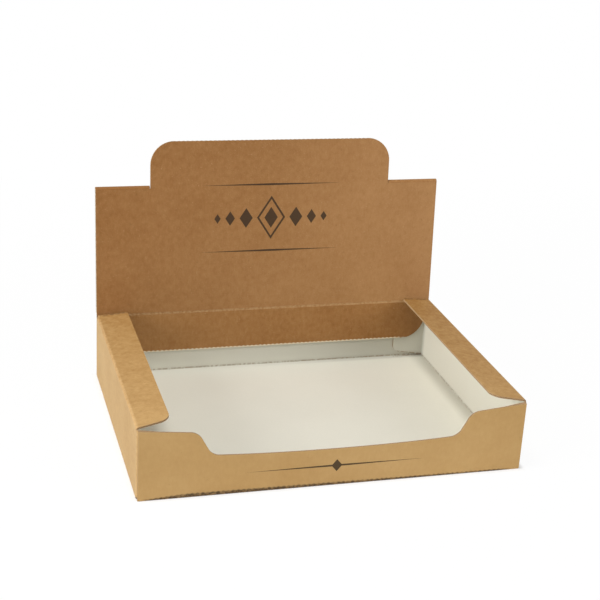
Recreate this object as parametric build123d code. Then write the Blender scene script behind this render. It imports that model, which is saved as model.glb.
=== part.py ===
from build123d import *
import math
import os

# Counter display box, folded from one blank of thin board, brown outside and white inside.
# Millimetres. The origin is the centre of the tray's underside, +X right, +Y back, +Z up.

# Board and folds
board = 1.5  # thickness of the board
fold_inside = 0.6  # radius on the inner side of a pressed fold
score_depth = 0.3  # groove left by a crease that is laid flat again
score_radius = 0.8  # roundness of that groove

# Tray
tray_width = 300.0
tray_depth = 222.0
tray_height = 58.0
wall_inset = 1.0  # front and back walls end this far inside the side walls' outer faces

# Front wall: high ears beside a wide dip
ear_height = 56.0  # at the corners
knee_height = 51.7  # where the ear's top turns down
dip_half_width = 95.0  # where the slanting side of the dip meets its lower edge
dip_slant_width = 10.5  # how much further out the slanting side reaches at the knee
dip_height = 32.8
dip_sag = 2.8  # how far the lower edge of the dip bows down at its middle
knee_radius = 10.0
foot_radius = 9.0

# Glued corner tabs, at both ends of each side wall
tab_length = 30.0  # from the side wall's outer face
tab_floor_gap = 0.5  # above the fold of the wall it is glued to
tab_top_drop = 0.3  # below the side wall's top
tab_taper = 9.0  # degrees, at its upper and lower edge
tab_radius = 5.5

# Side flaps, hinged on the side walls
flap_width = 26.0
flap_taper = 17.0  # degrees, at the front end
flap_front_radius = 11.0
flap_rear_radius = 3.0
flap_fold_radius = 1.2  # outer rounding of the fold
flap_front_clearance = 0.5  # behind the front wall
flap_rear_clearance = 0.5  # in front of the display panel
hinge_gap = 0.2  # between a side wall's top and its flap

# Display header: the lid, stood up and folded in half
header_lean = 4.0  # degrees, backwards
shoulder_height = 111.5  # slant height of the shoulders above the front crease
panel_seat_clearance = 0.3  # between the display panel's lower corners and the side walls
crown_half_width = 104.5  # the crown is the part that stands above the shoulders
crown_height = 37.5  # above the shoulders
crown_radius = 20.0
crown_cut = 0.4  # width of the cut that frees the crown from the rear leaf

# Tuck flap, hanging from the display panel into the tray
tuck_length = 36.0
tuck_side_clearance = 1.5
tuck_radius = 21.0
tuck_clearance = 0.3  # between the tuck flap and the rear corner tabs

# Worked out from the above
fold_outside = fold_inside + board
wall_top = tray_height - board - hinge_gap
leaf_gap = board + tuck_clearance  # the header's two leaves stand apart by a corner tab
half_width = tray_width / 2
half_depth = tray_depth / 2
front_half_width = half_width - wall_inset
knee_half_width = dip_half_width + dip_slant_width
side_length = tray_depth - 2 * board - 2 * fold_outside
tuck_half_width = half_width - board - tuck_side_clearance

# Frames on the printed side of the floor: y runs to the edge, z points out of the board
FLOOR_TO_FRONT = Location((0, 0, 0), (180, 0, 0))
FLOOR_TO_BACK = Location((0, 0, 0), (0, 0, 180)) * FLOOR_TO_FRONT
FLOOR_TO_RIGHT = Location((0, 0, 0), (0, 0, 90)) * FLOOR_TO_FRONT
FLOOR_TO_LEFT = Location((0, 0, 0), (0, 0, -90)) * FLOOR_TO_FRONT


def plate(frame, outline):
    """A flat panel of board. Its outline is drawn on the printed face."""
    return frame * extrude(outline, amount=-board)


def fold(frame, run, angle, width, middle=0.0, inside=fold_inside):
    """The board curved round a fold at y = run, and the frame of the panel beyond it.
    A positive angle folds towards the white side, a negative one towards the printed side."""
    pivot = -(inside + board) if angle > 0 else inside
    section = Pos(middle, run, -board / 2) * Rot(90, 0, 0) * Rectangle(width, board)
    axis = Axis((0, run, pivot), (-math.copysign(1, angle), 0, 0))
    curve = revolve(section, axis, revolution_arc=abs(angle))
    beyond = frame * Pos(0, run, pivot) * Rot(-angle, 0, 0) * Pos(0, 0, -pivot)
    return frame * curve, beyond


def score(frame, run, width):
    """The groove of a crease on the printed face at y = run."""
    centre = Pos(0, run, score_radius - score_depth)
    return frame * centre * Rot(0, 90, 0) * Cylinder(score_radius, width)


def rounded(corners, radii):
    """A closed outline with some of its corners rounded: radii maps a corner's place to its radius."""
    face = make_face(Polyline(*corners, close=True))
    for place, radius in radii.items():
        corner = face.vertices().sort_by_distance(corners[place] + (0,))[0]
        face = fillet(corner, radius)
    return face


def front_wall():
    """Front wall with its two ears and the wide dip between them."""
    base, wall = fold(FLOOR_TO_FRONT, half_depth - fold_outside, 90, 2 * front_half_width)

    def at(x, z):
        return (x, z - fold_outside)

    low = at(0, dip_height - dip_sag)
    left_foot = at(-dip_half_width, dip_height)
    right_foot = at(dip_half_width, dip_height)
    left_knee = at(-knee_half_width, knee_height)
    right_knee = at(knee_half_width, knee_height)
    edge = Polyline(
        left_foot,
        left_knee,
        at(-front_half_width, ear_height),
        (-front_half_width, 0),
        (front_half_width, 0),
        at(front_half_width, ear_height),
        right_knee,
        right_foot,
    )
    dip = ThreePointArc(right_foot, low, left_foot)
    face = make_face(edge + dip)
    for corner, radius in (
        (left_knee, knee_radius),
        (right_knee, knee_radius),
        (left_foot, foot_radius),
        (right_foot, foot_radius),
    ):
        face = fillet(face.vertices().sort_by_distance(corner + (0,))[0], radius)
    return base + plate(wall, face)


def side_wall(floor_frame):
    """Side wall with the glued tab at each end, folded in behind the front and back walls."""
    base, wall = fold(floor_frame, half_width - fold_outside, 90, side_length)
    height = wall_top - fold_outside
    solid = base + plate(wall, Pos(0, height / 2) * Rectangle(side_length, height))
    tab_low = tab_floor_gap
    tab_high = height - tab_top_drop
    root = tab_high - tab_low
    reach = tab_length - fold_outside
    narrowing = reach * math.tan(math.radians(tab_taper))
    for end in (-1, 1):
        upright = wall * Pos(0, (tab_low + tab_high) / 2, 0) * Rot(0, 0, -90 * end)
        curve, tab = fold(upright, side_length / 2, 90, root)
        outline = rounded(
            [
                (-root / 2, 0),
                (root / 2, 0),
                (root / 2 - narrowing, reach),
                (-root / 2 + narrowing, reach),
            ],
            {2: tab_radius, 3: tab_radius},
        )
        solid += curve + plate(tab, outline)
    return solid


def crown_outline(length, grow=0.0):
    """The crown's outline, from the fold at y = 0 up to y = length."""
    half = crown_half_width + grow
    top = length + grow
    radius = crown_radius + grow
    return rounded([(-half, 0), (half, 0), (half, top), (-half, top)], {2: radius, 3: radius})


def header():
    """Back wall, rear leaf with the crown's window, shoulder folds, display panel with the
    crown, and tuck flap. Returns the solid and the frame of the tuck flap."""
    base, wall = fold(FLOOR_TO_BACK, half_depth - fold_outside, 90, 2 * front_half_width)
    wall_height = tray_height - fold_outside
    solid = base + plate(wall, Pos(0, wall_height / 2) * Rectangle(2 * front_half_width, wall_height))

    lean, rear = fold(wall, wall_height, -header_lean, 2 * front_half_width)
    leaf_inside = leaf_gap / 2
    leaf_outside = leaf_inside + board
    slant = math.radians(header_lean)
    crease_height = wall_top + panel_seat_clearance
    panel_length = shoulder_height - leaf_outside
    crease_step = (rear.position.Z - crease_height) / math.cos(slant) + 2 * leaf_outside * math.tan(slant)
    rear_length = panel_length - crease_step
    crown_length = crown_height + leaf_outside
    fold_arc = math.pi * (leaf_inside + board / 2)
    window_length = crown_length - fold_arc

    rear_leaf = Pos(0, rear_length / 2) * Rectangle(tray_width, rear_length)
    window = Pos(0, rear_length) * Rot(0, 0, 180) * crown_outline(window_length, crown_cut)
    solid += lean + plate(rear, rear_leaf - window)

    shoulder = half_width - crown_half_width - crown_cut
    for side in (-1, 1):
        curve, panel = fold(
            rear, rear_length, 180, shoulder, side * (half_width - shoulder / 2), leaf_inside
        )
        solid += curve

    display = Pos(0, panel_length / 2) * Rectangle(tray_width, panel_length)
    crown = Rot(0, 0, 180) * crown_outline(crown_length)
    solid += plate(panel, display + crown)

    curve, tuck = fold(panel, panel_length, header_lean, 2 * tuck_half_width)
    outline = rounded(
        [
            (-tuck_half_width, 0),
            (tuck_half_width, 0),
            (tuck_half_width, tuck_length),
            (-tuck_half_width, tuck_length),
        ],
        {2: tuck_radius, 3: tuck_radius},
    )
    solid += curve + plate(tuck, outline)
    solid -= score(tuck, 0, tray_width)
    solid -= score(wall, wall_height, tray_width)
    return solid, tuck


def side_flap(side, rear_end):
    """Side flap lying level on the corner tabs. It is drawn for the right side, or mirrored."""
    front_end = -half_depth + board + flap_front_clearance
    inner = half_width - flap_width
    taper = flap_width * math.tan(math.radians(flap_taper))
    outline = rounded(
        [
            (half_width, front_end),
            (half_width, rear_end),
            (inner, rear_end),
            (inner, front_end + taper),
        ],
        {2: flap_rear_radius, 3: flap_front_radius},
    )
    flap = extrude(Pos(0, 0, tray_height - board) * outline, amount=board)
    fold_edge = flap.edges().filter_by(Axis.Y).group_by(Axis.X)[-1].sort_by(Axis.Z)[-1]
    flap = fillet(fold_edge, flap_fold_radius)
    return flap if side > 0 else mirror(flap, about=Plane.YZ)


floor_outline = Rectangle(tray_width - 2 * fold_outside, tray_depth - 2 * fold_outside)
header_solid, tuck_frame = header()
folded_carton = (
    plate(FLOOR_TO_FRONT, floor_outline)
    + front_wall()
    + side_wall(FLOOR_TO_RIGHT)
    + side_wall(FLOOR_TO_LEFT)
    + header_solid
)
flap_rear_end = tuck_frame.position.Y - flap_rear_clearance

nodes = {
    "folded_carton": folded_carton,
    "left_side_flap": side_flap(-1, flap_rear_end),
    "right_side_flap": side_flap(1, flap_rear_end),
}

os.makedirs("parts", exist_ok=True)
for name, solid in nodes.items():
    export_step(solid, f"parts/{name}.step")
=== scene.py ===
import math

import bmesh
import bpy
from mathutils import Matrix, Vector


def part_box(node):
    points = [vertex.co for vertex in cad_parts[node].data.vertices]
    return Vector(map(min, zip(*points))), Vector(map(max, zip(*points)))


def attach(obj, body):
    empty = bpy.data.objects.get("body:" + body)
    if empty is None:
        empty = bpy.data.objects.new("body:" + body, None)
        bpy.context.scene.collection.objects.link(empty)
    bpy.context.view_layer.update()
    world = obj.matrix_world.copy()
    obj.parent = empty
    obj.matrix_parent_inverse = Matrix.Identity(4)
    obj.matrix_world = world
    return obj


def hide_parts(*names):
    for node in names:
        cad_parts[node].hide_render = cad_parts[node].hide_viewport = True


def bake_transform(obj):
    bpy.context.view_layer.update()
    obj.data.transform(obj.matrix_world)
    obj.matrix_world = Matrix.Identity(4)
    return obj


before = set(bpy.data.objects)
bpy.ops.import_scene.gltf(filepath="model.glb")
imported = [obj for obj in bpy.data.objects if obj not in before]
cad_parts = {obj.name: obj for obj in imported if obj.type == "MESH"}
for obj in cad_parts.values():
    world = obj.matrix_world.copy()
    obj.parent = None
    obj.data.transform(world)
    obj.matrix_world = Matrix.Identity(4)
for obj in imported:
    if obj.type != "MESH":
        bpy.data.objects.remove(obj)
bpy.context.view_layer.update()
bpy.ops.object.select_all(action="DESELECT")


# Camera
# It stands a metre in front of the box, to the left of its middle, and looks down into the tray.
# The horizon is tilted by a few degrees.
camera_place = Vector((-0.2879, -0.9570, 0.4930))
camera_turn = 16.574  # degrees, to the right of straight ahead
camera_dip = 21.215  # degrees below level
camera_roll = 3.353  # degrees
camera_lens = 81.03  # mm, on a sensor 36 mm wide

bpy.ops.object.camera_add()
camera = bpy.context.object
camera.data.lens = camera_lens
camera.matrix_world = (
    Matrix.Translation(camera_place)
    @ Matrix.Rotation(math.radians(-camera_turn), 4, "Z")
    @ Matrix.Rotation(math.radians(90 - camera_dip), 4, "X")
    @ Matrix.Rotation(math.radians(camera_roll), 4, "Z")
)
bpy.context.scene.camera = camera


# Tray
# Floor, front wall with its dip, back wall and side walls are panels of one die-cut blank of thin
# board. Tabs at the ends of the side walls are folded in and glued behind the front and back walls.
# Until the board gets its thickness, the mesh is the blank's printed face, folded up.
carton_low, carton_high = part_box("folded_carton")
half_width = carton_high.x
half_depth = -carton_low.y
board = 0.0015
bend = 0.0021  # outer radius of a pressed fold
bend_steps = 6
front_bend_steps = 2  # the front's fold is scored deeper, so it is sharper
front_sharpness = 0.0004  # how far it comes out towards its corner
wall_inset = 0.001  # front and back walls end this far inside the side walls' faces
ear_height = 0.056
ear_drop = 0.0043  # how far the top of an ear slopes down to its knee
dip_half_width = 0.095
dip_slant_width = 0.0105
dip_height = 0.0328
dip_sag = 0.0028  # how far the dip's lower edge bows down
dip_segments = 16
knee_radius = 0.010
foot_radius = 0.009
tab_low = 0.0026  # height of a tab's lower edge at the side wall
tab_length = 0.030
tab_taper = 9  # degrees, along the upper and lower edge
tab_radius = 0.0055
side_half_length = half_depth - board - bend
floor_half_width = half_width - bend
hair = 0.00005  # places nearer to each other than this count as one


def pick(kind, test):
    """Selects the corners, edges or faces that lie, with ends and middle, where the test says."""
    bpy.ops.mesh.select_mode(type=kind)
    bpy.ops.mesh.select_all(action="DESELECT")
    shape = bmesh.from_edit_mesh(bpy.context.edit_object.data)
    for part in {"VERT": shape.verts, "EDGE": shape.edges, "FACE": shape.faces}[kind]:
        places = [corner.co for corner in getattr(part, "verts", [part])]
        places.append(sum(places, Vector()) / len(places))
        part.select_set(all(test(*place) for place in places))
    shape.select_flush_mode()
    bmesh.update_edit_mesh(bpy.context.edit_object.data)


def extend(x, y, z):
    """Extrudes the picked edges into a panel. Its far edges are then picked."""
    bpy.ops.mesh.extrude_region_move(TRANSFORM_OT_translate={"value": (x, y, z)})


def fold(pivot, axis, degrees=90, steps=bend_steps):
    """Curls the picked edges round a fold, counter-clockwise seen from the axis's tip. The far
    edges are then picked."""
    bpy.ops.mesh.spin(steps=steps, angle=-math.radians(degrees), center=pivot, axis=axis)


def shift(x, y, z):
    """Moves what is picked."""
    bpy.ops.transform.translate(value=(x, y, z))


def round_corner(radius, turn=90, segments=8):
    """Rounds the picked corners of a panel's outline, which turns there by so many degrees."""
    offset = radius * math.tan(math.radians(turn / 2))
    bpy.ops.mesh.bevel(offset=offset, segments=segments, affect="VERTICES")


bpy.ops.mesh.primitive_plane_add(size=2)
carton = bpy.context.object
carton.name = "carton"
bpy.ops.object.mode_set(mode="EDIT")
bpy.ops.transform.resize(value=(floor_half_width, side_half_length, 1))

# Front and back walls
for side, steps in ((-1, front_bend_steps), (1, bend_steps)):
    pick("EDGE", lambda x, y, z: side * y > side_half_length - hair)
    extend(0, side * board, 0)
    bpy.ops.transform.resize(value=((half_width - wall_inset) / floor_half_width, 1, 1))
    fold((0, side * (half_depth - bend), bend), (side, 0, 0), steps=steps)
    extend(0, 0, ear_height - bend)
pick("VERT", lambda x, y, z: y < -half_depth + bend - hair and hair < z < bend / 2)
shift(0, -front_sharpness, -front_sharpness)


def on_front(y, z):
    """Whether a place is on the front wall, above its fold."""
    return y < -half_depth + hair and z > bend + hair


# The dip: new corners along the front wall's upper edge are pushed down to their places
knee_half_width = dip_half_width + dip_slant_width
for place in (-knee_half_width, -dip_half_width, 0, dip_half_width, knee_half_width):
    pick("EDGE", lambda x, y, z: on_front(y, z) and z > ear_height - hair)
    bpy.ops.mesh.bisect(plane_co=(place, 0, 0), plane_no=(1, 0, 0))


def lower(half_place, height):
    """Pushes the corners on both sides of the front wall's upper edge down to a height."""
    pick("VERT", lambda x, y, z: on_front(y, z) and abs(abs(x) - half_place) < hair)
    shift(0, 0, height - ear_height)


lower(knee_half_width, ear_height - ear_drop)
lower(dip_half_width, dip_height)

# The middle corner goes twice as low as the lower edge bows, because its rounding brings it up
lower(0, dip_height - 2 * dip_sag)
bpy.ops.mesh.bevel(offset=dip_half_width - foot_radius, segments=dip_segments, affect="VERTICES")
ear_slope = math.degrees(math.atan(ear_drop / (half_width - wall_inset - knee_half_width)))
dip_slope = math.degrees(math.atan((ear_height - ear_drop - dip_height) / dip_slant_width))
pick("VERT", lambda x, y, z: on_front(y, z) and abs(abs(x) - knee_half_width) < hair)
round_corner(knee_radius, dip_slope - ear_slope)
pick("VERT", lambda x, y, z: on_front(y, z) and abs(abs(x) - dip_half_width) < hair)
round_corner(foot_radius, dip_slope)

# Side walls and corner tabs
tab_reach = tab_length - bend
tab_narrowing = tab_reach * math.tan(math.radians(tab_taper))
tab_end_share = 1 - 2 * tab_narrowing / (ear_height - tab_low)
for side in (-1, 1):
    pick(
        "EDGE",
        lambda x, y, z: side * x > floor_half_width - hair and abs(y) < half_depth - bend and z < hair,
    )
    fold((side * floor_half_width, 0, bend), (0, -side, 0))
    extend(0, 0, tab_low - bend)
    extend(0, 0, ear_height - tab_low)
    for end in (-1, 1):
        wall_end = side_half_length - hair
        pick(
            "EDGE",
            lambda x, y, z: side * x > half_width - hair and end * y > wall_end and z > tab_low - hair,
        )
        fold((side * floor_half_width, end * side_half_length, 0), (0, 0, side * end))
        extend(-side * tab_reach, 0, 0)
        bpy.ops.transform.resize(value=(1, 1, tab_end_share))
        tab_end = side * (half_width - tab_length)
        tab_place = end * (side_half_length + bend)
        pick("VERT", lambda x, y, z: abs(x - tab_end) < hair and abs(y - tab_place) < hair and z > bend)
        round_corner(tab_radius)


# Header
# The lid, of the same blank, stands up from the back wall and is folded in half at its shoulders.
# Its front half hangs down before the rear one, with the crown that was cut free above it, and ends
# in a tuck pushed down into the tray.
header_lean = math.radians(4)
back_height = 0.058
rear_leaf_length = 0.10732  # from the crease up to the folds at the shoulders
widening = 0.0002  # height of the strip in which the leaf reaches its full width
panel_length = 0.1091  # from those folds down to the tuck
shoulder_bend = 0.0024  # outer radius of the folds at the shoulders
shoulder_bend_steps = 10
crown_half_width = 0.1045
crown_length = 0.0399
crown_radius = 0.020
crown_cut = 0.0004  # width of the cut that frees the crown from the rear leaf
window_length = 0.03472
outline_segments = 12
tuck_half_width = 0.147
tuck_length = 0.036
tuck_radius = 0.021
up = Vector((0, math.sin(header_lean), math.cos(header_lean)))
ahead = Vector((0, -math.cos(header_lean), math.sin(header_lean)))

pick("EDGE", lambda x, y, z: y > half_depth - hair and z > ear_height - hair)
shift(0, 0, back_height - ear_height)
extend(*(up * widening))
bpy.ops.transform.resize(value=(half_width / (half_width - wall_inset), 1, 1))
extend(*(up * (rear_leaf_length - window_length - widening)))
leaf_foot = Vector((0, half_depth, back_height))
window_foot = leaf_foot + up * (rear_leaf_length - window_length)
window_half_width = crown_half_width + crown_cut
for side in (-1, 1):
    pick("EDGE", lambda x, y, z: z > window_foot.z - hair)
    bpy.ops.mesh.bisect(plane_co=(side * window_half_width, 0, 0), plane_no=(1, 0, 0))
pick("EDGE", lambda x, y, z: z > window_foot.z - hair and abs(x) > window_half_width - hair)
extend(*(up * window_length))
leaf_top = leaf_foot + up * rear_leaf_length
shoulder_pivot = leaf_top + ahead * shoulder_bend
panel_top = shoulder_pivot + ahead * shoulder_bend
panel_foot = panel_top - up * panel_length
fold(shoulder_pivot, (1, 0, 0), 180, steps=shoulder_bend_steps)
extend(*(-up * panel_length))

# Window in the rear leaf, where the crown was cut from
pick("EDGE", lambda x, y, z: abs(z - window_foot.z) < hair and abs(x) > window_half_width - hair)
bpy.ops.mesh.dissolve_edges(use_verts=False)
pick("VERT", lambda x, y, z: abs(z - window_foot.z) < hair and abs(x) < window_half_width + hair)
round_corner(crown_radius + crown_cut, segments=outline_segments)


def on_panel(x, y, z):
    """Whether a point is on the display panel's face."""
    return abs((Vector((0, y, z)) - panel_foot).dot(ahead)) < hair and z > panel_foot.z - hair


def on_panel_top(x, y, z):
    """Whether a point is on the display panel's upper edge, between the shoulders."""
    return on_panel(x, y, z) and z > panel_top.z - hair and abs(x) < window_half_width + hair


# The display panel is filled in between the two strips below the shoulders, and gets the crown
pick("EDGE", lambda x, y, z: on_panel(x, y, z) and abs(abs(x) - window_half_width) < hair)
bpy.ops.mesh.bridge_edge_loops()
for side in (-1, 1):
    pick("EDGE", on_panel_top)
    bpy.ops.mesh.bisect(plane_co=(side * crown_half_width, 0, 0), plane_no=(1, 0, 0))
pick("EDGE", lambda x, y, z: on_panel(x, y, z) and abs(abs(x) - window_half_width) < hair)
bpy.ops.mesh.dissolve_edges()
pick("EDGE", lambda x, y, z: on_panel_top(x, y, z) and abs(x) < crown_half_width + hair)
extend(*(up * crown_length))
pick("VERT", lambda x, y, z: z > panel_top.z + crown_length / 2)
round_corner(crown_radius, segments=outline_segments)

# Tuck
for side in (-1, 1):
    pick("EDGE", lambda x, y, z: on_panel(x, y, z) and z < panel_foot.z + hair)
    bpy.ops.mesh.bisect(plane_co=(side * tuck_half_width, 0, 0), plane_no=(1, 0, 0))
tuck_side = tuck_half_width + hair
pick("EDGE", lambda x, y, z: on_panel(x, y, z) and z < panel_foot.z + hair and abs(x) < tuck_side)
fold(panel_foot - ahead * bend, (1, 0, 0), math.degrees(header_lean), steps=1)
extend(0, 0, -tuck_length)
tuck_foot = panel_foot.z - tuck_length


def on_tuck(x, y, z):
    """Whether a point is on the tuck's printed face."""
    return abs(y - panel_foot.y) < 4 * hair and z < panel_foot.z + hair


pick("VERT", lambda x, y, z: on_tuck(x, y, z) and z < tuck_foot + hair)
round_corner(tuck_radius, segments=outline_segments)

# The crease below the display panel and the one behind the rear leaf are pressed into the board
groove_half_width = 0.0013
groove_depth = 0.0003
for foot, inward, on_leaf in (
    (panel_foot, -ahead, lambda x, y, z: on_panel(x, y, z) or on_tuck(x, y, z)),
    (leaf_foot, ahead, lambda x, y, z: y > half_depth - hair),
):
    for high in (-groove_half_width, groove_half_width):
        pick("FACE", on_leaf)
        bpy.ops.mesh.bisect(plane_co=foot + up * high, plane_no=(0, 0, 1))
    pick("VERT", lambda x, y, z: on_leaf(x, y, z) and abs(z - foot.z) < groove_half_width / 2)
    shift(*(inward * groove_depth))

# Fine teeth along the cut edges, one to each flute of the board
flute_pitch = 0.00382
tuck_tooth = 0.0006
crown_tooth = 0.0002


def cut_teeth(half_length, depth):
    """Gives the picked straight edge teeth that are so deep, by lifting or lowering every second
    one of its new corners. It takes two cuts, because one makes at most a hundred corners."""
    teeth = 2 * round(half_length / flute_pitch)
    bpy.ops.mesh.subdivide(number_cuts=1)
    bpy.ops.mesh.subdivide(number_cuts=teeth - 1)
    bpy.ops.mesh.select_mode(type="VERT")
    shape = bmesh.from_edit_mesh(bpy.context.edit_object.data)
    picked = [corner for corner in shape.verts if corner.select]
    bpy.ops.mesh.select_all(action="DESELECT")
    for corner in picked:
        corner.select_set(round((corner.co.x / half_length + 1) * teeth) % 2 == 1)
    bmesh.update_edit_mesh(bpy.context.edit_object.data)
    shift(*(up * depth))


pick("EDGE", lambda x, y, z: on_tuck(x, y, z) and z < tuck_foot + hair)
cut_teeth(tuck_half_width - tuck_radius, tuck_tooth)
pick("EDGE", lambda x, y, z: z > (panel_top + up * crown_length).z - hair)
cut_teeth(crown_half_width - crown_radius, -crown_tooth)


# Board
# The blank is cut from thin fluted board, with brown kraft paper outside and a white liner, which
# is inside once it is folded. Kraft shows small mottles, fibres and flecks and pale rubbed creases;
# a dark band of painted shade runs along the front's foot. The cut edges show the flutes.
kraft_brown = (0.428, 0.272, 0.114, 1)
front_brown = (0.471, 0.287, 0.109, 1)
# Painted shade: the header's brown is the same kraft made darker.
header_shaded_brown = (0.299, 0.142, 0.0476, 1)
# Painted shade: the tuck's brown is the same kraft made darker, as in the tray's shade.
tuck_shaded_brown = (0.316, 0.148, 0.0465, 1)
darkest_tint = (0.76, 0.68, 0.53)
lightest_tint = (1.22, 1.33, 1.52)
fibre_dark = (0.13, 0.065, 0.025, 1)
fibre_pale = (0.62, 0.43, 0.23, 1)
# The colour of the painted shade along the front's foot.
foot_shade_colour = (0.052, 0.031, 0.017, 1)
ink_colour = (0.030, 0.018, 0.010, 1)
edge_shade = (0.24, 0.145, 0.070, 1)
edge_light = (0.42, 0.285, 0.155, 1)
edge_pale = (0.80, 0.70, 0.52, 1)
paper_gloss = 0.18
paper_relief = 0.00003
mottle_size = 0.0044
streak_size = 0.0016
grain_size = 0.0009
cloud_size = 0.045
fibre_size = 0.00035
fibre_stretch = (8, 1, 1)
fibre_turns = ((0.3, 0.5, 0.2), (1.1, 0.4, 0.9), (0.2, 1.3, 1.7))
dark_fleck_size = 0.0024
pale_fleck_size = 0.0013
rubbing_size = 0.0020
fibre_limits = (0.64, 0.74)  # higher limits leave fewer
dark_fleck_limits = (0.68, 0.76)
pale_fleck_limits = (0.69, 0.77)
rubbing_limits = (0.32, 0.62)


def add_node(tree, kind, **settings):
    """Adds a shader node. A setting names an input, which takes a value or another node's
    output, or else one of the node's own properties."""
    node = tree.nodes.new(f"ShaderNode{kind}")
    for name, value in settings.items():
        socket = node.inputs.get(name.replace("_", " "))
        if socket is None:
            setattr(node, name, value)
        elif isinstance(value, bpy.types.NodeSocket):
            tree.links.new(value, socket)
        else:
            socket.default_value = value
    return node


def feed(tree, sockets, values):
    """Gives each input in turn a number, a colour or another node's output."""
    for socket, value in zip(sockets, values):
        if isinstance(value, bpy.types.NodeSocket):
            tree.links.new(value, socket)
        else:
            socket.default_value = value[:3] if socket.type == "VECTOR" else value


def calculate(tree, operation, *values):
    """Adds a Math node and gives its result."""
    node = add_node(tree, "Math", operation=operation)
    feed(tree, node.inputs, values)
    return node.outputs[0]


def product(tree, value, *others):
    """Multiplies numbers or masks."""
    for other in others:
        value = calculate(tree, "MULTIPLY", value, other)
    return value


def tinted(tree, colour, tint):
    """Multiplies a colour by a tint."""
    node = add_node(tree, "VectorMath", operation="MULTIPLY")
    feed(tree, node.inputs, (colour, tint))
    return node.outputs[0]


def mixed(tree, amount, first, second):
    """Mixes two colours."""
    node = add_node(tree, "Mix", data_type="RGBA")
    colours = [socket for socket in node.inputs if socket.type == "RGBA"]
    feed(tree, [node.inputs[0], *colours], (amount, first, second))
    return next(socket for socket in node.outputs if socket.type == "RGBA")


def between(tree, value, low, high):
    """Rises smoothly from 0 where the value is at low to 1 where it is at high, which may be less."""
    ramp = add_node(
        tree, "MapRange", interpolation_type="SMOOTHSTEP", Value=value, From_Min=low, From_Max=high
    )
    return ramp.outputs["Result"]


def noise(tree, place, size, detail=2.0):
    """Noise whose patches are about so many metres across."""
    return add_node(tree, "TexNoise", Vector=place, Scale=1 / size, Detail=detail).outputs["Fac"]


def patches(tree, place, size, limits, detail=2.0):
    """The mask of scattered patches: the parts of a noise that rise past the limits."""
    return between(tree, noise(tree, place, size, detail), *limits)


def varied(tree, value, *parts):
    """Adds to a value, for each noise and its share, that share of how far it is from its middle."""
    for part, share in parts:
        away = calculate(tree, "SUBTRACT", part, 0.5)
        value = calculate(tree, "ADD", value, calculate(tree, "MULTIPLY", away, share))
    return value


# Level is how light the paper is, from 0 to 1, and Drift how much lighter it gets in a metre along
# each axis, a gradient of painted light. Stretch draws out the streaks, and Mottle, Flecks and Rubbed
# Crease are strengths.
paper = bpy.data.node_groups.new("kraft paper", "ShaderNodeTree")
for name, kind, usual in (
    ("Brown", "Color", kraft_brown),
    ("Level", "Float", 0.5),
    ("Mottle", "Float", 1.0),
    ("Flecks", "Float", 0.25),
    ("Rubbed Crease", "Float", 0.28),
    ("Drift", "Vector", (0, 0, 0)),
    ("Stretch", "Vector", (1, 2.6, 2.6)),
):
    socket = paper.interface.new_socket(name, in_out="INPUT", socket_type=f"NodeSocket{kind}")
    socket.default_value = usual
for name, kind in (("Colour", "Color"), ("Height", "Float"), ("Roughness", "Float")):
    paper.interface.new_socket(name, in_out="OUTPUT", socket_type=f"NodeSocket{kind}")
given = paper.nodes.new("NodeGroupInput").outputs
place = add_node(paper, "TexCoord").outputs["Object"]

# Its tone: mottles, streaks and grain, wide clouds, and the drift of painted light
mottle = noise(paper, place, mottle_size, detail=3.0)
grain = noise(paper, place, grain_size)
clouds = noise(paper, place, cloud_size)
drawn_out = add_node(paper, "Mapping", vector_type="TEXTURE", Vector=place, Scale=given["Stretch"])
streaks = noise(paper, drawn_out.outputs[0], streak_size)
small = varied(paper, 0.0, (mottle, 0.8), (streaks, 0.5), (grain, 0.2))
tone = calculate(paper, "MULTIPLY_ADD", small, given["Mottle"], given["Level"])
tone = varied(paper, tone, (clouds, 0.55))
drift = add_node(paper, "VectorMath", operation="DOT_PRODUCT")
feed(paper, drift.inputs, (place, given["Drift"]))
tone = calculate(paper, "ADD", tone, drift.outputs["Value"])
darkest = tinted(paper, given["Brown"], darkest_tint)
lightest = tinted(paper, given["Brown"], lightest_tint)
colour = mixed(paper, tone, darkest, lightest)

# Pale fibres that lie in all directions, and dark and pale flecks
fibres = 0.0
for turn in fibre_turns:
    turned = add_node(
        paper, "Mapping", vector_type="TEXTURE", Vector=place, Rotation=turn, Scale=fibre_stretch
    )
    strand = patches(paper, turned.outputs[0], fibre_size, fibre_limits)
    fibres = calculate(paper, "MAXIMUM", fibres, strand)
colour = mixed(paper, product(paper, fibres, given["Flecks"]), colour, fibre_pale)
dark_flecks = patches(paper, place, dark_fleck_size, dark_fleck_limits)
colour = mixed(paper, product(paper, dark_flecks, given["Flecks"]), colour, fibre_dark)
pale_flecks = patches(paper, place, pale_fleck_size, pale_fleck_limits)
colour = mixed(paper, product(paper, pale_flecks, given["Flecks"], 1.1), colour, fibre_pale)

# Rubbed creases
rubbing = patches(paper, place, rubbing_size, rubbing_limits, detail=4.0)
creased = add_node(paper, "Attribute", attribute_name="creased").outputs["Fac"]
creased = between(paper, creased, 0.0, 0.5)
colour = mixed(paper, product(paper, creased, rubbing, given["Rubbed Crease"]), colour, fibre_pale)
result = paper.nodes.new("NodeGroupOutput").inputs
paper.links.new(colour, result["Colour"])
paper.links.new(varied(paper, mottle, (grain, 0.6), (fibres, 0.3)), result["Height"])
paper.links.new(calculate(paper, "MULTIPLY_ADD", mottle, 0.15, 0.58), result["Roughness"])


def new_material(name):
    """Gives a matt paper material, its node tree and its shader."""
    material = bpy.data.materials.new(name)
    material.use_nodes = True
    shader = material.node_tree.nodes["Principled BSDF"]
    shader.inputs["Specular IOR Level"].default_value = paper_gloss
    return material, material.node_tree, shader


def raise_surface(tree, shader, height, depth):
    """Adds bumps so many metres deep."""
    bump = add_node(tree, "Bump", Height=height, Distance=depth, Strength=1.0)
    tree.links.new(bump.outputs["Normal"], shader.inputs["Normal"])


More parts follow.
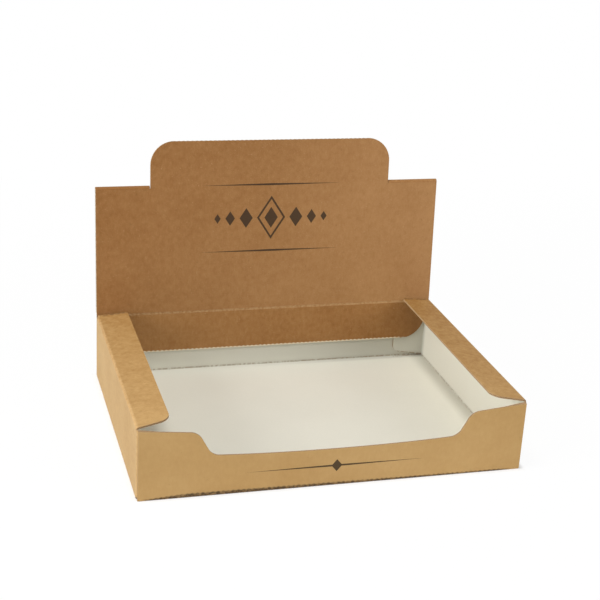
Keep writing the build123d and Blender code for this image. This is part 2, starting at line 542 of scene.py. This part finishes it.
def kraft_material(name, marks=(), **looks):
    """Brown kraft paper. A mark is a function that gives its mask, its strength and its colour."""
    material, tree, shader = new_material(name)
    group = add_node(tree, "Group", node_tree=paper, **looks)
    colour = group.outputs["Colour"]
    for mask, strength, mark_colour in marks:
        colour = mixed(tree, product(tree, mask(tree), strength), colour, mark_colour)
    tree.links.new(colour, shader.inputs["Base Color"])
    tree.links.new(group.outputs["Roughness"], shader.inputs["Roughness"])
    raise_surface(tree, shader, group.outputs["Height"], paper_relief)
    return material


def flat_place(tree):
    """How far across and how high a point is."""
    split = add_node(tree, "SeparateXYZ", Vector=add_node(tree, "TexCoord").outputs["Object"])
    return split.outputs["X"], split.outputs["Z"]


def diamond(tree, spot, middle, size):
    """The mask of a printed diamond round a middle, with its half width and half height."""
    reach = 0.0
    for place, centre, half in zip(spot, middle, size):
        away = calculate(tree, "ABSOLUTE", calculate(tree, "SUBTRACT", place, centre))
        reach = calculate(tree, "ADD", reach, calculate(tree, "DIVIDE", away, half))
    return calculate(tree, "LESS_THAN", reach, 1.0)


def header_print(tree):
    """A row of diamonds between two thin rules that taper to points."""
    print_height = 0.138
    frame_size = (0.0125, 0.019)
    frame_hole = (0.0105, 0.016)
    core_size = (0.006, 0.0092)
    row = ((0.022, 0.0058), (0.036, 0.0042), (0.047, 0.0028))  # places and half widths
    rule_size = (0.062, 0.0009)
    rule_distance = 0.029

    spot = flat_place(tree)
    middle = (0, print_height)
    mask = diamond(tree, spot, middle, frame_size)
    mask = calculate(tree, "SUBTRACT", mask, diamond(tree, spot, middle, frame_hole))
    mask = calculate(tree, "ADD", mask, diamond(tree, spot, middle, core_size))
    for side in (-1, 1):
        for place, half in row:
            mark = diamond(tree, spot, (side * place, print_height), (half, half * 1.5))
            mask = calculate(tree, "ADD", mask, mark)
        rule = diamond(tree, spot, (0, print_height + side * rule_distance), rule_size)
        mask = calculate(tree, "ADD", mask, rule)
    return mask


def front_print(tree):
    """One long rule that tapers to points, with a small diamond on its middle."""
    middle = (0, 0.0165)
    rule_size = (0.070, 0.0008)
    mark_size = (0.0042, 0.0050)
    spot = flat_place(tree)
    rule = diamond(tree, spot, middle, rule_size)
    return calculate(tree, "MAXIMUM", rule, diamond(tree, spot, middle, mark_size))


def toothed(tree, across, slope, roots):
    """The height of a toothed edge: its teeth, one to a flute, rise from their roots at a slope."""
    teeth = calculate(tree, "PINGPONG", across, flute_pitch / 2)
    return calculate(tree, "MULTIPLY_ADD", teeth, slope, roots)


def front_foot_shade(tree):
    """Painted shade: a ragged dark band along the front's lower fold, for its underside and contact
    shadow.
    """
    line_height = 0.0020  # at the front's middle
    line_fall = 0.008  # how far it falls in a metre to the right
    corner_fall = 0.0022  # how much lower it is at the left corner
    corner = (-0.110, -0.146)  # where that begins, and where it is full
    left_end = (-0.147, -0.139)
    right_end = (0.143, 0.134)
    tooth_slope = 0.3
    softness = 0.0007  # half the width over which the line's edge fades
    break_size = 0.0022
    break_limits = (0.62, 0.42)
    across, high = flat_place(tree)
    line = calculate(tree, "MULTIPLY_ADD", across, -line_fall, line_height)
    line = calculate(tree, "MULTIPLY_ADD", between(tree, across, *corner), -corner_fall, line)
    line = toothed(tree, across, tooth_slope, line)
    foot = between(tree, calculate(tree, "SUBTRACT", high, line), softness, -softness)
    place = add_node(tree, "TexCoord").outputs["Object"]
    broken = patches(tree, place, break_size, break_limits, detail=3.0)
    foot = product(tree, foot, calculate(tree, "MULTIPLY_ADD", broken, 0.35, 0.65))
    return product(tree, foot, between(tree, across, *right_end), between(tree, across, *left_end))


def tuck_rim(tree):
    """The pale line of bare board between the teeth along the tuck's lower edge."""
    rim_height = 0.0006
    rim_ends = (0.130, 0.120)
    tooth_slope = 0.45
    softness = 0.0002
    across, high = flat_place(tree)
    line = toothed(tree, across, tooth_slope, tuck_foot + rim_height)
    rim = between(tree, calculate(tree, "SUBTRACT", high, line), softness, -softness)
    return product(tree, rim, between(tree, calculate(tree, "ABSOLUTE", across), *rim_ends))


def tuck_end_shade(tree):
    """Painted shade on the tuck's right end, next to the right flap."""
    dark_end = (0.105, 0.142)
    return between(tree, flat_place(tree)[0], *dark_end)


kraft = kraft_material("kraft", Mottle=0.6)
# The front carries its print and a band of painted shade along its foot.
kraft_front = kraft_material(
    "kraft_front",
    marks=((front_print, 0.9, ink_colour), (front_foot_shade, 0.92, foot_shade_colour)),
    Brown=front_brown,
    Mottle=0.3,
    Flecks=0.1,
    Rubbed_Crease=0.0,
)
# Painted light: its Drift makes the header lighter to the right and lower down.
kraft_header = kraft_material(
    "kraft_header",
    marks=((header_print, 0.9, ink_colour),),
    Brown=header_shaded_brown,
    Level=0.74,
    Mottle=0.8,
    Drift=(2.1, 0, -1.5),
)
# Painted shade: the shoulder folds face up to the overhead lamp and are darkened by a low Level; their
# Drift is painted light, lighter to the right and lower down.
kraft_shoulder = kraft_material(
    "kraft_shoulder",
    Brown=header_shaded_brown,
    Level=0.35,
    Rubbed_Crease=0.0,
    Drift=(2.5, 0, -1.7),
)
# Painted light: its Drift makes the tuck lighter to the left.
kraft_tuck = kraft_material(
    "kraft_tuck",
    marks=((tuck_rim, 0.9, edge_pale), (tuck_end_shade, 0.34, fibre_dark)),
    Brown=tuck_shaded_brown,
    Drift=(-1.2, 0, 0),
)

# Liner: white paper with a fine grain, and painted light that makes it a little lighter on the walls
# than on the floor. Each pair of places says where a mark begins and where it is full.
liner_white = (0.685, 0.668, 0.580, 1)
liner_dark = (0.90, 0.90, 0.89)
liner_light = (1.10, 1.10, 1.11)
# The tint of the painted shade on the liner.
liner_shaded_tint = (0.62, 0.62, 0.61)
liner_grain_size = 0.0012
liner_cloud_size = 0.05
wall_start = (0.003, 0.006)  # above the table
side_foot = (0.016, 0.004)  # from the side wall
foot_top = (0.005, 0.002)
back_start = (0.102, 0.107)  # towards the back
back_right = (-0.10, 0.16)  # towards the right
crease_low = (0.0016, 0.0019)  # above the table
crease_high = (0.0034, 0.0027)
crease_break_size = 0.0018
crease_break_limits = (0.36, 0.56)
tab_front = (0.1072, 0.1078)  # towards the back
tab_back = (0.1090, 0.1084)
tab_tip = (half_width - tab_length, half_width - tab_length + 0.002)  # from the middle
torn_shadow_height = (0.0010, 0.0004)  # above the tab's lower edge
torn_shadow_size = 0.0014
torn_shadow_limits = (0.38, 0.55)

liner, tree, shader = new_material("liner")
place = add_node(tree, "TexCoord").outputs["Object"]
split = add_node(tree, "SeparateXYZ", Vector=place)
rightwards, along, high = split.outputs["X"], split.outputs["Y"], split.outputs["Z"]
across = calculate(tree, "ABSOLUTE", rightwards)
liner_grain = noise(tree, place, liner_grain_size, detail=3.0)
tone = varied(tree, 0.5, (liner_grain, 0.35), (noise(tree, place, liner_cloud_size), 0.3))
# Painted light: the walls are a little lighter than the floor.
tone = calculate(tree, "MULTIPLY_ADD", between(tree, high, *wall_start), 0.25, tone)
colour = mixed(tree, tone, tinted(tree, liner_white, liner_dark), tinted(tree, liner_white, liner_light))

# Painted shade: it is greyer along the side walls' feet and on the back wall towards the right
from_side = calculate(tree, "SUBTRACT", half_width - board, across)
wall_foot_shade = product(tree, between(tree, from_side, *side_foot), between(tree, high, *foot_top))
behind = between(tree, along, *back_start)
back_shade = product(tree, behind, between(tree, rightwards, *back_right))
liner_shade = calculate(tree, "MULTIPLY_ADD", back_shade, 0.62, product(tree, wall_foot_shade, 0.35))
colour = mixed(tree, liner_shade, colour, tinted(tree, liner_white, liner_shaded_tint))

# Along the walls' feet runs a dark crease, broken by fibres
crease = product(tree, between(tree, high, *crease_low), between(tree, high, *crease_high))
crease = product(tree, crease, patches(tree, place, crease_break_size, crease_break_limits))
crease = product(tree, crease, calculate(tree, "MULTIPLY_ADD", behind, 0.10, 0.45))
colour = mixed(tree, crease, colour, edge_shade)

# The rear corner tabs' lower edges are torn, so that the brown shows, and darkened with painted shade
# from the gap under them
tab_slope = math.tan(math.radians(tab_taper))
tab_foot = calculate(tree, "MULTIPLY_ADD", across, -tab_slope, tab_low + floor_half_width * tab_slope)
torn_and_shadow = between(tree, calculate(tree, "SUBTRACT", high, tab_foot), *torn_shadow_height)
torn_and_shadow = product(tree, torn_and_shadow, between(tree, along, *tab_front), between(tree, along, *tab_back))
torn_and_shadow = product(tree, torn_and_shadow, between(tree, across, *tab_tip))
torn_and_shadow = product(tree, torn_and_shadow, patches(tree, place, torn_shadow_size, torn_shadow_limits), 0.75)
colour = mixed(tree, torn_and_shadow, colour, edge_shade)
tree.links.new(colour, shader.inputs["Base Color"])
shader.inputs["Roughness"].default_value = 0.7
raise_surface(tree, shader, liner_grain, paper_relief)

# Cut edge: a wavy flute between two papers. A pair says how far from its middle line each fades
# out, or in, as a share of the board's thickness.
flute_edge = (0.22, 0.1)
paper_edge = (0.3, 0.42)

cut_edge, tree, shader = new_material("cut_edge")
through = add_node(tree, "Attribute", attribute_name="through").outputs["Fac"]
wave = calculate(tree, "SINE", product(tree, flat_place(tree)[0], math.tau / flute_pitch))
wave = calculate(tree, "MULTIPLY_ADD", wave, 0.35, 0.5)
from_wave = calculate(tree, "ABSOLUTE", calculate(tree, "SUBTRACT", wave, through))
from_middle = calculate(tree, "ABSOLUTE", calculate(tree, "SUBTRACT", through, 0.5))
flute = between(tree, from_wave, *flute_edge)
papers = between(tree, from_middle, *paper_edge)
solid = calculate(tree, "MAXIMUM", flute, papers)
tree.links.new(mixed(tree, solid, edge_shade, edge_light), shader.inputs["Base Color"])
shader.inputs["Roughness"].default_value = 0.9

# The printed faces get their papers, and the sheet its thickness
fold_strip = 0.0015  # a strip narrower than this belongs to a fold
smooth_angle = 35  # degrees
carton_finishes = (kraft, kraft_front, kraft_header, kraft_shoulder, kraft_tuck, liner, cut_edge)


def load_finishes(piece, finishes):
    """Gives a piece its finishes. The first one is all over it."""
    for finish in finishes:
        piece.data.materials.append(finish)


def cover(finish):
    """Covers the picked faces with one of the piece's finishes."""
    piece = bpy.context.object
    piece.active_material_index = piece.data.materials.find(finish.name)
    bpy.ops.object.material_slot_assign()


def is_strip(face):
    """Whether a face is one of the narrow strips that make up a fold."""
    return face.calc_area() < fold_strip * max(edge.calc_length() for edge in face.edges)


def keep_weights(sheet, group, attribute):
    """Keeps a vertex group's weights in an attribute that materials can read, and gives them."""
    number = sheet.vertex_groups[group].index
    weights = [
        next((entry.weight for entry in corner.groups if entry.group == number), 0.0)
        for corner in sheet.data.vertices
    ]
    sheet.data.attributes.new(attribute, "FLOAT", "POINT").data.foreach_set("value", weights)
    return weights


def give_thickness(sheet):
    """Turns a folded sheet into board: white inside, with its section showing at the cut edges."""
    bpy.context.view_layer.objects.active = sheet
    shape = bmesh.new()
    shape.from_mesh(sheet.data)
    folds = [corner.index for corner in shape.verts if all(is_strip(face) for face in corner.link_faces)]
    shape.free()
    sheet.vertex_groups.new(name="folds").add(folds, 1, "REPLACE")
    sheet.vertex_groups.new(name="inside")
    bpy.ops.object.modifier_add(type="SOLIDIFY")
    solidify = sheet.modifiers[-1]
    solidify.thickness = board
    solidify.offset = -1
    solidify.use_even_offset = True
    solidify.shell_vertex_group = "inside"
    bpy.ops.object.modifier_apply(modifier=solidify.name)
    keep_weights(sheet, "folds", "creased")
    through = keep_weights(sheet, "inside", "through")
    for face in sheet.data.polygons:
        inside = [through[corner] > 0.5 for corner in face.vertices]
        if any(inside):
            finish = liner if all(inside) else cut_edge
            face.material_index = sheet.data.materials.find(finish.name)
    sheet.vertex_groups.clear()
    bpy.ops.object.shade_smooth_by_angle(angle=math.radians(smooth_angle))
    bpy.ops.object.modifier_add(type="WEIGHTED_NORMAL")
    sheet.modifiers[-1].keep_sharp = True
    bpy.ops.object.modifier_apply(modifier=sheet.modifiers[-1].name)


def on_groove(x, y, z):
    """Whether a point is in the crease below the display panel."""
    return abs(z - panel_foot.z) < groove_half_width and abs(y - panel_foot.y) < groove_depth + hair


def on_shoulder(x, y, z):
    """Whether a point is on the front half of the folds at the shoulders."""
    in_front = (Vector((0, y, z)) - shoulder_pivot).dot(ahead) > -hair
    return in_front and z > panel_top.z - hair and abs(x) > window_half_width - hair


load_finishes(carton, carton_finishes)
pick("FACE", lambda x, y, z: y < -half_depth + bend + hair)
cover(kraft_front)
pick("FACE", lambda x, y, z: on_panel(x, y, z) or on_groove(x, y, z))
cover(kraft_header)
pick("FACE", on_shoulder)
cover(kraft_shoulder)
pick("FACE", lambda x, y, z: on_tuck(x, y, z) and z < panel_foot.z - groove_half_width + hair)
cover(kraft_tuck)
bpy.ops.mesh.select_all(action="SELECT")
bpy.ops.mesh.remove_doubles(threshold=hair / 10)
bpy.ops.mesh.normals_make_consistent(inside=False)
bpy.ops.object.mode_set(mode="OBJECT")
give_thickness(carton)
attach(carton, "carton")
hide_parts("folded_carton")


# Side flaps
# Each side wall ends in a flap of the same board, which lies over the corner tabs and springs up a
# little from them. It turns on the pressed crease along the wall's top. The right one is drawn, and
# mirrored for the left.
flap_low, flap_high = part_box("right_side_flap")
flap_bend = flap_high.z - ear_height
flap_rise = 5  # degrees
flap_taper = 17  # degrees, at the front end
flap_front_radius = 0.011
flap_front_segments = 10
flap_rear_radius = 0.003
flap_rear_gap = 0.0013  # how much wider the gap at the rear is than the level flap's
flap_rear_end = flap_high.y - flap_rear_gap
# Painted shade: the flaps' brown is the same kraft made darker, under the overhead lamp.
flap_shaded_brown = (0.373, 0.210, 0.072, 1)
crease_x = half_width - flap_bend
flap_middle = ((flap_low.x + crease_x) / 2, (flap_high.y - side_half_length) / 2, flap_high.z)


def flap_end_shade(tree):
    """Painted shade: a dark rim at the rear end of a side flap, where it meets the header."""
    rim = (flap_rear_end - 0.0040, flap_rear_end - 0.0015)
    end_shade_break_size = 0.0030
    end_shade_break_limits = (0.40, 0.52)
    place = add_node(tree, "TexCoord").outputs["Object"]
    along = add_node(tree, "SeparateXYZ", Vector=place).outputs["Y"]
    return product(tree, between(tree, along, *rim), patches(tree, place, end_shade_break_size, end_shade_break_limits))


# Painted light: its Drift makes the flaps lighter to the left and towards the front.
kraft_flap = kraft_material(
    "kraft_flap",
    marks=((flap_end_shade, 0.7, fibre_dark),),
    Brown=flap_shaded_brown,
    Mottle=1.35,
    Drift=(-1.0, -2.5, 0),
    Stretch=(1.7, 1, 1),
)

# The flap's own panel starts as a rectangle up to the crease
bpy.ops.mesh.primitive_plane_add(size=2, location=flap_middle)
right_flap = bpy.context.object
right_flap.name = "right_flap_board"
load_finishes(right_flap, (kraft_flap, liner, cut_edge))
bpy.ops.object.transform_apply()
bpy.ops.object.mode_set(mode="EDIT")
bpy.ops.transform.resize(value=((crease_x - flap_low.x) / 2, (flap_high.y + side_half_length) / 2, 1))
pick("VERT", lambda x, y, z: y > 0)
shift(0, -flap_rear_gap, 0)
pick("VERT", lambda x, y, z: x < crease_x - hair and y < 0)
taper_drop = math.tan(math.radians(flap_taper)) * (half_width - flap_low.x)
shift(0, flap_low.y + side_half_length + taper_drop, 0)
round_corner(flap_front_radius, 90 - flap_taper, segments=flap_front_segments)
pick("VERT", lambda x, y, z: x < crease_x - hair and y > 0)
round_corner(flap_rear_radius)

# It is raised a little, and its crease is curled down to the wall's top
flap_pivot = (crease_x, 0, ear_height)
bpy.ops.mesh.select_all(action="SELECT")
bpy.ops.transform.rotate(value=-math.radians(flap_rise), orient_axis="Y", center_override=flap_pivot)
pick("EDGE", lambda x, y, z: x > crease_x - hair)
fold(flap_pivot, (0, 1, 0), 90 - flap_rise)
bpy.ops.mesh.select_all(action="SELECT")
bpy.ops.mesh.normals_make_consistent(inside=False)
bpy.ops.object.mode_set(mode="OBJECT")

bpy.ops.object.duplicate()
left_flap = bpy.context.object
left_flap.name = "left_flap_board"
left_flap.scale.x = -1
bpy.ops.object.transform_apply()
bpy.ops.object.mode_set(mode="EDIT")
bpy.ops.mesh.select_all(action="SELECT")
bpy.ops.mesh.normals_make_consistent(inside=False)
bpy.ops.object.mode_set(mode="OBJECT")

for flap in (left_flap, right_flap):
    give_thickness(flap)
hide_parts("left_side_flap")
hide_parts("right_side_flap")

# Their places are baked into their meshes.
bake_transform(right_flap)
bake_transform(left_flap)


# Studio
# A wide pale table that shows white to the camera and keeps a soft shadow, and even light from all
# round. A lamp overhead, a large one on the left and a small one before the right corner are soft.
table_size = 14.0
table_colour = (0.86, 0.86, 0.86, 1)
contact_glow = 0.35  # share of plain white by the box's foot, where its shadow is darkest
contact_width = 0.005
table_glow = 0.95  # share of plain white beyond that width
shadow_width = 0.6  # from here on the table is plain white
room_light = 0.35
lamp_target = Vector((0, 0, 0.05))
lamps = (  # place, size in metres and power in watts
    (Vector((-0.43, -0.20, 1.60)), 0.45, 14),
    (Vector((-1.90, -0.50, 0.70)), 1.40, 34),
    (Vector((0.90, -0.75, 0.60)), 0.70, 5.5),
)


def shown_white(tree):
    """1 for the rays that should find a white background, and 0 for those that carry light."""
    rays = add_node(tree, "LightPath").outputs
    mirrored = calculate(tree, "MAXIMUM", rays["Is Glossy Ray"], rays["Is Transmission Ray"])
    return calculate(tree, "MAXIMUM", rays["Is Camera Ray"], mirrored)


bpy.ops.mesh.primitive_plane_add(size=table_size)
table = bpy.context.object
table.name = "table"
table_finish = bpy.data.materials.new("table")
table_finish.use_nodes = True
tree = table_finish.node_tree
shader = tree.nodes["Principled BSDF"]
shader.inputs["Base Color"].default_value = table_colour
shader.inputs["Roughness"].default_value = 0.9
shader.inputs["Specular IOR Level"].default_value = 0
split = add_node(tree, "SeparateXYZ", Vector=add_node(tree, "TexCoord").outputs["Object"])
aside = calculate(tree, "SUBTRACT", calculate(tree, "ABSOLUTE", split.outputs["X"]), half_width)
beyond = calculate(tree, "SUBTRACT", calculate(tree, "ABSOLUTE", split.outputs["Y"]), half_depth)
from_box = calculate(tree, "MAXIMUM", aside, beyond)
past_contact = between(tree, from_box, 0.0, contact_width)
past_shadow = between(tree, from_box, 0.0, shadow_width)
white = calculate(tree, "MULTIPLY_ADD", past_contact, table_glow - contact_glow, contact_glow)
white = calculate(tree, "MULTIPLY_ADD", past_shadow, 1 - table_glow, white)
white = product(tree, shown_white(tree), white)
plain_white = add_node(tree, "Emission", Color=(1, 1, 1, 1), Strength=1.0)
whitened = add_node(tree, "MixShader", Fac=white)
tree.links.new(shader.outputs["BSDF"], whitened.inputs[1])
tree.links.new(plain_white.outputs["Emission"], whitened.inputs[2])
tree.links.new(whitened.outputs["Shader"], tree.nodes["Material Output"].inputs["Surface"])
table.data.materials.append(table_finish)

world = bpy.data.worlds.new("room")
world.use_nodes = True
bpy.context.scene.world = world
tree = world.node_tree
background = tree.nodes["Background"]
background.inputs["Color"].default_value = (1, 1, 1, 1)
level = calculate(tree, "MULTIPLY_ADD", shown_white(tree), 1 - room_light, room_light)
tree.links.new(level, background.inputs["Strength"])

for lamp_place, lamp_size, lamp_power in lamps:
    bpy.ops.object.light_add(type="AREA", location=lamp_place)
    lamp = bpy.context.object
    lamp.data.size = lamp_size
    lamp.data.energy = lamp_power
    lamp.visible_camera = False
    lamp.rotation_euler = (lamp_target - lamp_place).to_track_quat("-Z", "Y").to_euler()

bpy.context.scene.view_settings.view_transform = "Standard"
